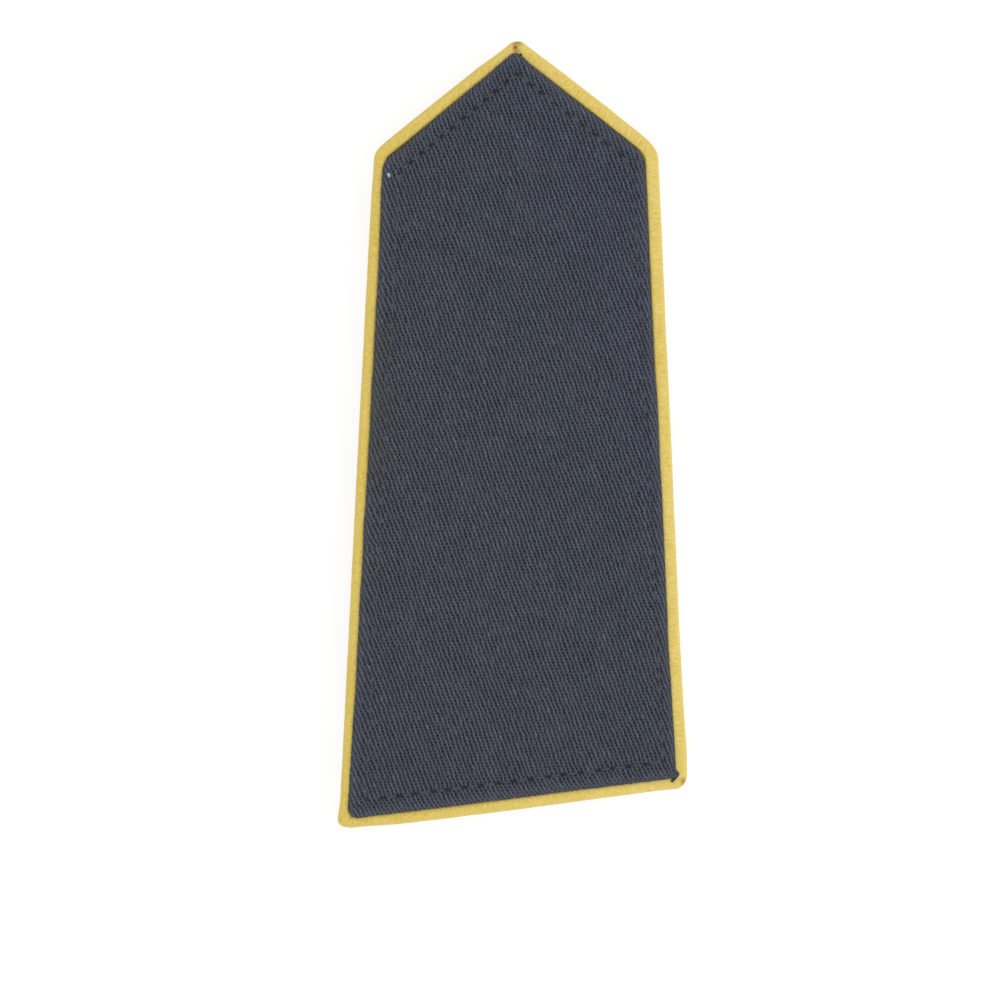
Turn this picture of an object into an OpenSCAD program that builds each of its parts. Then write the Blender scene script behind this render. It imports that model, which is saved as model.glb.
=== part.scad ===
// Plain uniform shoulder board: a padded cloth face edged with a round piping cord, a felt backing,
// and one plain band across the back through which a garment's shoulder strap slides.
// Millimetres. +Y runs to the point (the collar end), +Z out of the face, and the board lies on its band.

/* [Outline] */
// Length from the wide end to the point, along the middle
board_length = 131.3; // [110:0.1:150]
// Width across the shoulders, below the point
shoulder_width = 48.3; // [44:0.1:56]
// Width at the wide end
base_width = 59.2; // [54:0.1:70]
// Height of the point above the shoulders
point_rise = 19; // [12:0.1:26]
// How much higher the right shoulder sits than the left one
shoulder_skew = 0.9; // [0:0.1:2]
// Slant of the wide end in degrees, which follows the sleeve seam
base_slant = 7.5; // [0:0.1:10]

/* [Outline corners] */
// Outer radius at the point
point_radius = 2.7; // [1:0.1:4]
// Outer radius at the left shoulder
left_shoulder_radius = 3.2; // [1:0.1:8]
// Outer radius at the left base corner
left_base_radius = 1.9; // [1:0.1:4]
// Outer radius at the right base corner
right_base_radius = 2.3; // [1:0.1:4]
// Outer radius at the right shoulder
right_shoulder_radius = 4.8; // [1:0.1:8]

/* [Face panel] */
// Height of the face's border above the top of the piping
border_rise = 0.6; // [0.4:0.05:1.5]
// Further rise of the padded middle above the border
crown_rise = 0.3; // [0.1:0.05:0.8]
// Distance over which the face rises inside the stitch line
crown_run = 7; // [3:0.1:10]
// Corner radius of the face at the point
face_point_radius = 0.8; // [0.4:0.1:3]
// Corner radius of the face at the left shoulder
face_left_shoulder_radius = 3.1; // [0.6:0.1:6]
// Corner radius of the face at the left base corner
face_left_base_radius = 1.8; // [0.4:0.1:3]
// Corner radius of the face at the right base corner
face_right_base_radius = 0.8; // [0.4:0.1:3]
// Corner radius of the face at the right shoulder
face_right_shoulder_radius = 6.4; // [0.6:0.1:8]

/* [Visible piping] */
// Piping that shows beside the face along the upper left edge
reveal_upper_left = 1.97; // [1.5:0.01:2.3]
// Piping that shows along the left edge
reveal_left = 1.67; // [1.5:0.01:2.3]
// Piping that shows along the wide end
reveal_base = 1.81; // [1.5:0.01:2.3]
// Piping that shows along the right edge
reveal_right = 2.03; // [1.5:0.01:2.3]
// Piping that shows along the upper right edge
reveal_upper_right = 2.14; // [1.5:0.01:2.3]

/* [Stitch line] */
// Distance of the stitch line from the face's edge along the upper left edge
stitch_upper_left = 3.05; // [1.8:0.05:4]
// Distance of the stitch line from the left edge
stitch_left = 2.95; // [1.8:0.05:4]
// Distance of the stitch line from the wide end
stitch_base = 2.9; // [1.8:0.05:4]
// Distance of the stitch line from the right edge
stitch_right = 2.05; // [1.8:0.05:4]
// Distance of the stitch line from the upper right edge
stitch_upper_right = 2.6; // [1.8:0.05:4]

/* [Piping] */
// Diameter of the piping cord
cord_d = 2.4; // [2.3:0.05:3]
// Thickness of the flange that is sewn between face and backing
flange_t = 0.4; // [0.3:0.05:0.8]
// Width of the flange inside the cord
flange_w = 3; // [2:0.1:5]
// Sides of the cord's cross-section
cord_sides = 14; // [10:1:16]

/* [Backing] */
// Thickness of the felt backing
backing_t = 1; // [1:0.1:2]

/* [Strap band] */
// Thickness of the band's webbing
band_t = 1; // [1:0.1:1.6]
// Length of the band along the board
band_length = 60; // [40:1:70]
// Distance of the band's lower end from the middle of the wide end
band_start = 15; // [12:1:25]
// Width of the passage inside the band
passage_w = 38; // [30:0.5:40]
// Height of the passage inside the band
passage_h = 3; // [2:0.1:4]
// Distance of the band's sewn edges from the edge of the backing, at the band's narrow end
hem_margin = 0.5; // [0.2:0.1:1.5]
// Inner radius of the band's two folds
fold_r = 0.6; // [0.3:0.1:1]

/* [Fit] */
// Gap between neighbouring pieces
gap = 0.1; // [0.05:0.05:0.3]

/* [Hidden] */
corner_steps = 8;

// Heights, from the surface that the band rests on
backing_z = band_t + passage_h + gap;
flange_z = backing_z + backing_t + gap;
cord_z = flange_z + flange_t / 2;
face_z = flange_z + flange_t + gap;
cord_r = cord_d / 2;
edge_z = cord_z + cord_r + gap;
border_z = cord_z + cord_r + border_rise;

// The long sides are straight and lean in towards the point; y = 0 is the middle of the wide end
shoulder_y = board_length - point_rise;
side_lean = (base_width - shoulder_width) / 2 / shoulder_y;
function half_width(y) = base_width / 2 - side_lean * y;

// Heights of the four lower corners; the slanted wide end meets the leaning sides off the middle line
left_shoulder_y = shoulder_y - shoulder_skew / 2;
right_shoulder_y = shoulder_y + shoulder_skew / 2;
slant = tan(base_slant);
left_base_y = -base_width / 2 * slant / (1 - side_lean * slant);
right_base_y = base_width / 2 * slant / (1 + side_lean * slant);

// Corners in counter-clockwise order from the point. Side i runs from corner i to the next one:
// upper left, left, wide end, right, upper right.
corners = [
    [0, board_length],
    [-half_width(left_shoulder_y), left_shoulder_y],
    [-half_width(left_base_y), left_base_y],
    [half_width(right_base_y), right_base_y],
    [half_width(right_shoulder_y), right_shoulder_y]
];
outer_radii = [
    point_radius,
    left_shoulder_radius,
    left_base_radius,
    right_base_radius,
    right_shoulder_radius
];
face_radii = [
    face_point_radius,
    face_left_shoulder_radius,
    face_left_base_radius,
    face_right_base_radius,
    face_right_shoulder_radius
];
reveals = [reveal_upper_left, reveal_left, reveal_base, reveal_right, reveal_upper_right];
stitch_spans = [stitch_upper_left, stitch_left, stitch_base, stitch_right, stitch_upper_right];

// Sharpest radius of an inner corner, where cloth or cord is creased
crease_r = 0.3;
sides = len(corners);

function side_dir(i) =
    let (step = corners[(i + 1) % sides] - corners[i % sides])
    step / norm(step);
function inward(d) = [-d[1], d[0]];

// Corner i after each side has moved inwards by its own inset
function inset_corner(i, insets) =
    let (
        before = (i + sides - 1) % sides,
        a = inward(side_dir(before)),
        b = inward(side_dir(i)),
        det = a[0] * b[1] - a[1] * b[0]
    )
    corners[i] + [
        (insets[before] * b[1] - insets[i] * a[1]) / det,
        (a[0] * insets[i] - b[0] * insets[before]) / det
    ];

// The outline with its insets and corner radii, as one closed ring of points
function ring(insets, radii) = [
    for (i = [0:sides - 1])
        let (
            d0 = side_dir(i + sides - 1),
            d1 = side_dir(i),
            turn = acos(d0 * d1),
            centre = inset_corner(i, insets) - d0 * radii[i] * tan(turn / 2) + inward(d0) * radii[i],
            start = atan2(-inward(d0)[1], -inward(d0)[0])
        )
        for (k = [0:corner_steps])
            let (angle = start + turn * k / corner_steps)
            centre + radii[i] * [cos(angle), sin(angle)]
];
function all_sides(inset) = [for (i = [0:sides - 1]) inset];
function shrink(radii, by) = [for (r = radii) max(crease_r, r - by)];
function raise(points, z) = [for (p = points) [p[0], p[1], z]];

// The part's origin is the middle of the outline's box in plan
rim = ring(all_sides(0), outer_radii);
middle = [
    (min([for (p = rim) p[0]]) + max([for (p = rim) p[0]])) / 2,
    (min([for (p = rim) p[1]]) + max([for (p = rim) p[1]])) / 2
];

// Joins rings of the same number of points. A closed row of rings makes a loop, an open one gets flat ends.
module loft(rings, closed) {
    n = len(rings[0]);
    count = len(rings);
    strips = closed ? count : count - 1;
    walls = [
        for (j = [0:strips - 1], i = [0:n - 1])
            let (
                a = j * n + i,
                b = j * n + (i + 1) % n,
                c = ((j + 1) % count) * n + i,
                d = ((j + 1) % count) * n + (i + 1) % n
            )
            each [[a, c, b], [b, c, d]]
    ];
    ends = closed ? [] : [
        [for (i = [0:n - 1]) i],
        [for (i = [n - 1:-1:0]) (count - 1) * n + i]
    ];
    polyhedron(points = [for (r = rings) each r], faces = concat(walls, ends), convexity = 6);
}

// Section of the face from its underside over the rolled border and the stitch groove to the crown.
// The rolled edge lies over the piping, clear of its top.
// span: share of the way from the face's edge to the stitch line
// beyond: share of crown_run inside the stitch line
// lower: share of the height from the underside to the edge
// upper: share of the height from the edge to the border
// crown: share of crown_rise
FACE_SECTION = [
    // [span, beyond, lower, upper, crown]
    [0.38, 0.00, 0.00, 0.00, 0.00],
    [0.24, 0.00, 0.62, 0.00, 0.00],
    [0.06, 0.00, 1.00, 0.00, 0.00],
    [0.00, 0.00, 1.00, 0.16, 0.00],
    [0.03, 0.00, 1.00, 0.42, 0.00],
    [0.12, 0.00, 1.00, 0.70, 0.00],
    [0.30, 0.00, 1.00, 0.91, 0.00],
    [0.56, 0.00, 1.00, 1.00, 0.00],
    [0.84, 0.00, 1.00, 0.94, 0.00],
    [1.00, 0.00, 1.00, 0.70, 0.00],
    [1.00, 0.08, 1.00, 0.92, 0.06],
    [1.00, 0.25, 1.00, 1.00, 0.42],
    [1.00, 0.55, 1.00, 1.00, 0.80],
    [1.00, 1.00, 1.00, 1.00, 1.00]
];

module face_panel() {
    color([0.26, 0.28, 0.33])
        loft([
            for (row = FACE_SECTION)
                let (
                    span = row[0],
                    beyond = row[1] * crown_run,
                    low = row[2] * (edge_z - face_z),
                    high = row[3] * (border_z - edge_z) + row[4] * crown_rise,
                    insets = reveals + stitch_spans * span + all_sides(beyond),
                    radii = shrink(face_radii, min(stitch_spans) * span + beyond)
                )
                raise(ring(insets, radii), face_z + low + high)
        ], closed = false);
}

// Section of the piping, clockwise: the round cord, then the flat flange on its inner side.
// Each point is [inset from the board's edge, height above the middle of the cord].
flange_angle = asin(flange_t / 2 / cord_r);
cord_arc = 360 - 2 * flange_angle;
flange_end = cord_d + flange_w;
cord_points = [
    for (k = [0:cord_sides])
        let (angle = -flange_angle - cord_arc * k / cord_sides)
        cord_r * [1 + cos(angle), sin(angle)]
];
PIPING_SECTION = concat(cord_points, [[flange_end, flange_t / 2], [flange_end, -flange_t / 2]]);

module piping() {
    color([0.88, 0.77, 0.40])
        loft([
            for (p = PIPING_SECTION)
                raise(ring(all_sides(p[0]), shrink(outer_radii, p[0])), cord_z + p[1])
        ], closed = true);
}

backing_inset = cord_d + gap;

module backing() {
    color([0.16, 0.17, 0.20])
        translate([0, 0, backing_z])
            linear_extrude(backing_t)
                polygon(ring(all_sides(backing_inset), shrink(outer_radii, backing_inset)));
}

// A bar of the given width whose two lower corners are rounded, standing on y = 0
module trough(width, height, r) {
    translate([-width / 2 + r, 0])
        square([width - 2 * r, height]);
    translate([-width / 2, r])
        square([width, height - r]);
    for (side = [-1, 1])
        translate([side * (width / 2 - r), r])
            circle(r = r, $fn = 48);
}

// The band's hems lie against the backing and end hem_margin inside its edge
hem_end = half_width(band_start + band_length) - backing_inset - hem_margin;
hem_w = hem_end - passage_w / 2;

module strap_band() {
    band_h = band_t + passage_h;
    color([0.18, 0.19, 0.23])
        translate([0, band_start + band_length, 0])
            rotate([90, 0, 0])
                linear_extrude(band_length) {
                    difference() {
                        trough(passage_w + 2 * band_t, band_h, fold_r + band_t);
                        translate([0, band_t])
                            trough(passage_w, band_h, fold_r);
                    }
                    for (x = [-hem_end, passage_w / 2])
                        translate([x, passage_h])
                            square([hem_w, band_t]);
                }
}

translate([-middle[0], -middle[1], 0]) {
    face_panel();
    piping();
    backing();
    strap_band();
}
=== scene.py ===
import math
import random

import bpy
import numpy as np
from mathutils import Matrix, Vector, noise
from mathutils.geometry import convex_hull_2d, delaunay_2d_cdt


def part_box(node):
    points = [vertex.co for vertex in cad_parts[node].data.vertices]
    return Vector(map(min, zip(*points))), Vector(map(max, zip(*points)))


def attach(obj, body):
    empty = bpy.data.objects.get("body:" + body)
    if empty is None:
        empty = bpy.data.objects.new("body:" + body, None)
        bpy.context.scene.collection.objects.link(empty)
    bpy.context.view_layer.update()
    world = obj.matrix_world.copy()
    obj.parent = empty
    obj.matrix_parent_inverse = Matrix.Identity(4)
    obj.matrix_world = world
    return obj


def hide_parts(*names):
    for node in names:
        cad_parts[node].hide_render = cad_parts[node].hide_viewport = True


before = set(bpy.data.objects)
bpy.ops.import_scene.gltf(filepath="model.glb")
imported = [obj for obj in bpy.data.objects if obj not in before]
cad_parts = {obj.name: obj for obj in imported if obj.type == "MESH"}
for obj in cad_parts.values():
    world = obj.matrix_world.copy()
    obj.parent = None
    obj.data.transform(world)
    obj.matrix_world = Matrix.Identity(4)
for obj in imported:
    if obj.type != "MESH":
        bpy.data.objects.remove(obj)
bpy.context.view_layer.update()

MM = 0.001
TURN = 2 * math.pi

# Values for each side: upper left, left, wide end, right, upper right
SIDES = 5
STITCH_SPAN = np.array([3.05, 2.95, 2.9, 2.05, 2.6])  # stitch line from the face's edge
STITCH_PITCH = (2.38, 2.72, 2.8, 2.64, 2.69)  # from one needle hole to the next
STITCH_SHOW = np.array([0.95, 0.25, 0.95, 0.5, 0.85])  # how plainly the seam is drawn into the cloth
# The edge moved in at the side's start and end
FACE_TRIM = ((-0.2, 0.5), (0.06, -0.3), (0.13, 0.12), (-0.31, 0.31), (0.21, 0.15))
WEAVE_DRAG = (0.0, 0.15, 0.15, -0.05, 0.0)  # how far the border's cloth is dragged along the edge

# Values for each corner: point, left shoulder, left base, right base, right shoulder
OUTER_RADIUS = np.array([2.3, 3.2, 1.9, 2.3, 4.8])
FACE_RADIUS = np.array([0.4, 3.1, 1.8, 0.4, 5.6])
CREASE = 0.3  # sharpest radius of an inner corner
ARC_STEPS = 14

# Columns of a ring over which a value passes from one side to the next, and a stray is evened
SIDE_BLEND, CORD_BLEND, STRAY_BLEND = 15, 10, 3

# The photo's scale, and where its middle falls
MM_PER_PIXEL = 0.17
PHOTO_SIZE = 1000
PHOTO_MIDDLE = (PHOTO_SIZE - 1) / 2
AIM = np.array([-2.298, -10.845])
ROLL = 0.00294
CAMERA_Z = 1500
OUTLINE_Z = 6

# One rib to the next across the twill, and one pick to the next down a rib
RIB_STEP = (0.736, 0.027)
PICK_STEP = (0.203, -0.527)
LEAN = 0.57  # how far the weft's dots lean between two ribs, in picks

# The webbing's rows, and the floats along them
WEB_ROW, WEB_FLOAT = 0.9, 1.3


def from_photo(px, py, z):
    """The point at height z that the camera shows at a pixel of the photo."""
    scale = MM_PER_PIXEL * (CAMERA_Z - z) / (CAMERA_Z - OUTLINE_Z)
    u, v = (px - PHOTO_MIDDLE) * scale, (PHOTO_MIDDLE - py) * scale
    right = np.array([math.cos(ROLL), math.sin(ROLL)])
    return AIM + u * right + v * left_of(right)


def node_box(name):
    low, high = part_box(name)
    return np.array(low) / MM, np.array(high) / MM


# Outline


def unit(v):
    return v / np.linalg.norm(v, axis=-1, keepdims=True)


def left_of(v):
    return np.stack([-v[..., 1], v[..., 0]], -1)


def shifted(points):
    """The points from the second on, and the first one last."""
    return np.roll(points, -1, axis=0)


def meet(a, b, c, d):
    """Where the line through a and b meets the line through c and d."""
    u, v = b - a, d - c
    share = np.cross(c - a, v) / np.cross(u, v)
    return a + share * u


def sharp_corners(name):
    """The corners where a node's five long sides meet, counter-clockwise from the point."""
    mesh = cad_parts[name].data
    flat = np.array([v.co[:2] for v in mesh.vertices]) / MM
    hull = flat[convex_hull_2d([tuple(p) for p in flat])]
    if np.cross(hull, shifted(hull)).sum() < 0:
        hull = hull[::-1]
    after = shifted(hull)
    longest = np.sort(np.argsort(np.linalg.norm(after - hull, axis=1))[-SIDES:])
    corners = np.array([
        meet(hull[longest[i - 1]], after[longest[i - 1]], hull[longest[i]], after[longest[i]])
        for i in range(SIDES)
    ])
    return np.roll(corners, -np.argmax(corners[:, 1]), axis=0)


def moved_in(corners, insets):
    """The corners after each side has moved in by its inset, or by its (start, end) insets."""
    insets = np.broadcast_to(np.asarray(insets, float).T, (2, SIDES)).T
    after = shifted(corners)
    inward = left_of(unit(after - corners))
    start = corners + inward * insets[:, :1]
    end = after + inward * insets[:, 1:]
    return np.array([meet(start[i - 1], end[i - 1], start[i], end[i]) for i in range(SIDES)])


def side_steps(corners, spacing):
    lengths = np.linalg.norm(shifted(corners) - corners, axis=1)
    return [max(2, round(length / spacing)) for length in lengths]


def ring(corners, radii, steps):
    """The outline with round corners: points and outward directions. Equal steps make rings pair."""
    ahead = unit(shifted(corners) - corners)
    arcs, outs = [], []
    for i in range(SIDES):
        d0, d1 = ahead[i - 1], ahead[i]
        turn = math.acos(float(np.clip(d0 @ d1, -1, 1)))
        centre = corners[i] - d0 * radii[i] * math.tan(turn / 2) + left_of(d0) * radii[i]
        first = math.atan2(-left_of(d0)[1], -left_of(d0)[0])
        angles = first + turn * np.arange(ARC_STEPS + 1) / ARC_STEPS
        out = np.stack([np.cos(angles), np.sin(angles)], 1)
        arcs.append(centre + radii[i] * out)
        outs.append(out)
    points, normals = [], []
    for i in range(SIDES):
        share = (np.arange(1, steps[i]) / steps[i])[:, None]
        begin, end = arcs[i][-1], arcs[(i + 1) % SIDES][0]
        points += [arcs[i], begin + share * (end - begin)]
        normals += [outs[i], np.repeat(outs[i][-1:], steps[i] - 1, axis=0)]
    return np.concatenate(points), np.concatenate(normals)


def run_along(path):
    """How far each point of an open path is from the first."""
    return np.concatenate([[0], np.cumsum(np.linalg.norm(np.diff(path, axis=0), axis=1))])


def lengths_along(points):
    """How far each point of a closed ring is from the first, and the whole way round last."""
    return run_along(np.vstack([points, points[:1]]))


def corner_columns(steps):
    """The column of each corner's middle in a ring."""
    starts = np.cumsum([0] + [ARC_STEPS + n for n in steps])[:SIDES]
    return starts + ARC_STEPS // 2


def sides_of(steps, count):
    """The side of each column of a ring, counted from the middle of one corner to the next."""
    return (np.searchsorted(corner_columns(steps), np.arange(count), side="right") - 1) % SIDES


def places_along(points, steps):
    """How far along its side each column of a ring is, in millimetres."""
    along = lengths_along(points)
    marks = along[corner_columns(steps)]
    return (along[:-1] - marks[sides_of(steps, len(points))]) % along[-1]


def evened(values, reach):
    """The values round a ring, each taken as the mean of those within reach columns."""
    wrapped = np.concatenate([values[-reach:], values, values[:reach]])
    return np.convolve(wrapped, np.ones(2 * reach + 1) / (2 * reach + 1), "valid")


def out_of_line(points, steps, table):
    """How far each column of a ring stands out, from rows of (side, place along it, outward, reach)."""
    side, place = sides_of(steps, len(points)), places_along(points, steps)
    far = np.zeros(len(points))
    for which, at, outward, reach in table:
        far += np.where(side == which, outward * bell(place - at, reach), 0.0)
    return evened(far, STRAY_BLEND)


# Meshes


MAP_SHARE, MAP_MARGIN = 0.98, 0.01
SEED_SHIFT = (17.3, 5.1, 9.7)  # how far a seed moves the noise


def loft(rows, columns, closed_rows=False):
    """Quads between rings, and the unwrapped row and column of each quad's corners."""
    r, c = np.meshgrid(np.arange(rows - (not closed_rows)), np.arange(columns), indexing="ij")
    row = np.stack([r, r, r + 1, r + 1], -1).reshape(-1, 4)
    column = np.stack([c, c + 1, c + 1, c], -1).reshape(-1, 4)
    return (row % rows) * columns + column % columns, row, column


def capped(quads, rows, columns):
    """The faces of a loft, closed at both ends."""
    last = (rows - 1) * columns
    return quads.tolist() + [list(range(columns))[::-1], [last + k for k in range(columns)]]


def packed(places, size):
    """Places in millimetres, laid out in a map's unit square."""
    return places / size * MAP_SHARE + MAP_MARGIN


def in_scene(name, data):
    made = bpy.data.objects.new(name, data)
    bpy.context.scene.collection.objects.link(made)
    return made


def make_piece(name, points, faces, material, maps=None):
    """A smooth mesh in metres that rides on the one body. maps holds value pairs by face corner."""
    mesh = bpy.data.meshes.new(name)
    mesh.from_pydata(np.asarray(points) * MM, [], [list(map(int, f)) for f in faces])
    for key, pairs in (maps or {}).items():
        layer = mesh.uv_layers.new(name=key)
        layer.uv.foreach_set("vector", np.asarray(pairs, np.float32).ravel())
    mesh.shade_smooth()
    mesh.materials.append(material)
    mesh.update()
    piece = in_scene(name, mesh)
    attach(piece, "root")
    return piece


def ripple(points, wavelength, seed):
    """Smooth noise from about -1 to 1 at each point of the plan."""
    shift = Vector([seed * s for s in SEED_SHIFT])
    return np.array([noise.noise(Vector((x, y, 0)) / wavelength + shift) for x, y in points])


def ripples(points, *waves):
    """Waves of smooth noise added up, each given as height, wavelength and seed."""
    return sum(height * ripple(points, wavelength, seed) for height, wavelength, seed in waves)


def bell(distance, width):
    return np.exp(-(distance / width) ** 2)


class Tubes:
    """Closed tubes gathered into one mesh, with a map of the length along and the turn around."""

    def __init__(self):
        self.points, self.faces, self.map = [], [], []

    def add(self, path, radii, sides=8, flat=1.0):
        """radii is one radius, or one for each point. flat below 1 squashes the tube from above."""
        path = np.asarray(path, float)
        radii = np.broadcast_to(radii, len(path))
        ahead = unit(np.gradient(path, axis=0))
        side = np.cross(ahead, [0, 0, 1.0])
        side = unit(np.where(np.linalg.norm(side, axis=1, keepdims=True) < 1e-3, [1.0, 0, 0], side))
        up = np.cross(side, ahead)
        turns = TURN * (np.arange(sides) / sides)[:, None]
        spin = np.cos(turns) * side[:, None] + np.sin(turns) * up[:, None] * flat
        first = sum(len(p) for p in self.points)
        self.points.append((path[:, None] + spin * radii[:, None, None]).reshape(-1, 3))
        along = run_along(path)
        quads, row, column = loft(len(path), sides)
        self.faces += (quads[:, ::-1] + first).tolist()
        self.map.append(np.stack([along[row], column / sides], -1)[:, ::-1].reshape(-1, 2))
        last = first + (len(path) - 1) * sides
        self.faces += [[first + k for k in range(sides)], [last + sides - 1 - k for k in range(sides)]]
        self.map.append(np.zeros((2 * sides, 2)))

    def piece(self, name, material):
        return make_piece(name, np.concatenate(self.points), self.faces, material,
                          {"twist": np.concatenate(self.map)})


# Materials

SHEEN_ROUGHNESS = 0.6
# Soft round marks: pixel x, pixel y, size in mm, strength, colour. First lint, hairs and a dull tint on
# the face, then soiled places on the piping.
FACE_Z = 7.4
FACE_MARKS = (
    (388, 173.6, 0.36, 1, (226, 228, 232)),
    (388.6, 175.4, 0.36, 1, (214, 216, 222)),
    (375, 508, 0.24, 1, (150, 153, 158)),
    (377, 335, 0.3, 1, (88, 88, 76)),
    (377.4, 337.5, 0.3, 1, (86, 86, 74)),
    (373, 428, 0.32, 1, (88, 88, 76)),
    (369, 345, 6, 0.18, (76, 74, 58)),
    (367, 400, 7, 0.22, (76, 74, 58)),
    (366, 455, 6, 0.18, (76, 74, 58)),
)
CORD_TOP_Z = 6.4
CORD_MARKS = (
    (516.2, 50.5, 1, 0.55, (186, 146, 84)),
    (515.2, 48.5, 0.8, 0.55, (168, 122, 60)),
    (514.6, 46.9, 0.52, 1, (128, 78, 30)),
    (513.5, 42, 1, 0.4, (170, 136, 70)),
    (517.5, 42, 1.1, 0.6, (150, 116, 58)),
    (520.3, 54.3, 0.5, 1, (52, 42, 32)),
    (682.8, 779.5, 0.8, 0.55, (166, 116, 52)),
    (683.5, 782.5, 0.8, 0.55, (160, 110, 48)),
)


def srgb(red, green, blue):
    """A colour given as the screen shows it, 0 to 255, as the linear values that a shader takes."""
    levels = [c / 255 for c in (red, green, blue)]
    return [c / 12.92 if c <= 0.04045 else ((c + 0.055) / 1.055) ** 2.4 for c in levels] + [1]


class Cloth:
    """A cloth material, with short ways to add nodes."""

    def __init__(self, name, roughness, specular, sheen):
        self.material = bpy.data.materials.new(name)
        self.material.use_nodes = True
        self.tree = self.material.node_tree
        self.shader = self.tree.nodes["Principled BSDF"]
        self.look("Roughness", roughness)
        self.look("Specular IOR Level", specular)
        self.look("Sheen Weight", sheen)
        self.look("Sheen Roughness", SHEEN_ROUGHNESS)

    def look(self, name, value):
        self.put(self.shader.inputs[name], value)

    def node(self, kind, **settings):
        node = self.tree.nodes.new("ShaderNode" + kind)
        for key, value in settings.items():
            setattr(node, key, value)
        return node

    def put(self, socket, value):
        if isinstance(value, bpy.types.NodeSocket):
            self.tree.links.new(value, socket)
        else:
            socket.default_value = value

    def fed(self, node, *values):
        """The first output of a node whose inputs are given in order."""
        for socket, value in zip(node.inputs, values):
            self.put(socket, value)
        return node.outputs[0]

    def math(self, operation, *values):
        return self.fed(self.node("Math", operation=operation), *values)

    def add(self, a, b):
        return self.math("ADD", a, b)

    def less(self, a, b):
        return self.math("SUBTRACT", a, b)

    def times(self, a, b):
        return self.math("MULTIPLY", a, b)

    def power(self, a, b):
        return self.math("POWER", a, b)

    def line(self, value, slope, start):
        return self.math("MULTIPLY_ADD", value, slope, start)

    def blend(self, value, low, high, to_low=0.0, to_high=1.0):
        """value carried smoothly from low..high to to_low..to_high, and held there."""
        node = self.node("MapRange", interpolation_type="SMOOTHSTEP")
        return self.fed(node, value, low, high, to_low, to_high)

    def wave(self, value, shift=0.0):
        """0 to 1 and back for each whole step of value, 1 at the whole numbers plus shift."""
        angle = self.times(self.less(value, shift), TURN)
        return self.line(self.math("COSINE", angle), 0.5, 0.5)

    def split(self, vector):
        node = self.node("SeparateXYZ")
        return self.fed(node, vector), node.outputs[1]

    def map(self, name):
        return self.split(self.node("UVMap", uv_map=name).outputs[0])

    def place(self):
        """The point in the row frame, in metres."""
        return self.node("TexCoord").outputs["Object"]

    def vector(self, x, y, z=0.0):
        """z can set one noise apart from another."""
        return self.fed(self.node("CombineXYZ"), x, y, z)

    def noise(self, vector, scale, detail=2.0, roughness=0.5):
        node = self.node("TexNoise")
        settings = {"Vector": vector, "Scale": scale, "Detail": detail, "Roughness": roughness}
        for key, value in settings.items():
            self.put(node.inputs[key], value)
        return node.outputs["Fac"]

    def weave(self, x, y, x_scale, y_scale, shift=0.0, detail=2.0, roughness=0.5):
        """Noise over two counts or lengths, each with its own scale."""
        place = self.vector(self.times(x, x_scale), self.times(y, y_scale), shift)
        return self.noise(place, 1.0, detail, roughness)

    def chance(self, vector):
        """An even random value for each whole cell of a vector."""
        cell = self.fed(self.node("VectorMath", operation="FLOOR"), vector)
        return self.fed(self.node("TexWhiteNoise", noise_dimensions="3D"), cell)

    def sway(self, value, amount):
        """A value from 0 to 1 turned into an even swing of the given width about 0."""
        return self.line(value, amount, -amount / 2)

    def mix(self, share, a, b, clamp=True):
        node = self.node("Mix", data_type="RGBA", clamp_factor=clamp)
        for key, value in (("Factor_Float", share), ("A_Color", a), ("B_Color", b)):
            self.put(next(s for s in node.inputs if s.identifier == key), value)
        return next(s for s in node.outputs if s.identifier == "Result_Color")

    def marked(self, colour, marks, z, core):
        """colour with soft round marks on it, each full within the core share of its size."""
        for px, py, size, strength, tone in marks:
            away = self.node("VectorMath", operation="DISTANCE")
            self.fed(away, self.place(), (*from_photo(px, py, z) * MM, z * MM))
            share = self.blend(away.outputs["Value"], core * size * MM, size * MM, 1.0, 0.0)
            colour = self.mix(self.times(share, strength), colour, srgb(*tone))
        return colour

    def finish(self, colour, height, depth):
        """Joins the colour and the relief, whose full height is depth millimetres."""
        self.look("Base Color", colour)
        bump = self.node("Bump")
        self.put(bump.inputs["Distance"], depth * MM)
        self.put(bump.inputs["Height"], height)
        self.look("Normal", bump.outputs[0])
        return self.material


# Twill. A line is what bold border cloth adds, and the value elsewhere. A blend is low, high and the
# values there. Tones are a sway, then noise scales over ribs and picks, shift and detail: worn
# stretches, patches and fibres.
RIB_LINE, GAP_LINE, DOT_LINE = (-0.8, 3.2), (0.04, 0.6), (-0.13, 0.54)
BOLD_BLEND, EDGE_LIGHT = (0.4, 2.2, 1.0, 0.0), (0.3, 2.0, 0.15, 0.0)
RIB_SWAY, PICK_SWAY, FLOAT_SWAY = 0.75, 0.6, 0.12
DOT_POWER, WEFT_POWER, DOT_SPREAD = 0.6, 0.65, (0.75, 1.2)
TONES = ((0.46, 1.3, 0.35), (0.27, 0.16, 0.12, 0.0, 3.0), (1.2, 3.0, 2.0, 8.0, 0.7))
FLOAT_PICKS = 4.0
# Painted glints on a few floats' crests, as a blend, and the least light
PAINTED_GLINT_BLEND, LEAST_LIGHT = (0.96, 1.0, 0.0, 0.4), -0.1
BLUE_RISE, BLUE_BLEND = 0.4, (-0.03, 0.05)  # up for each step right, and metres from where to where
BROWN_YARNS = (0.55, 0.4, 3.0)
BROWN_BLEND, EDGE_BLEND, HOLE_SHADE_BLEND = (0.42, 0.7, 0.0, 0.2), (0.2, 1.3, 0.2, 0.0), (0.2, 0.75, 0.0, 0.7)


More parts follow.
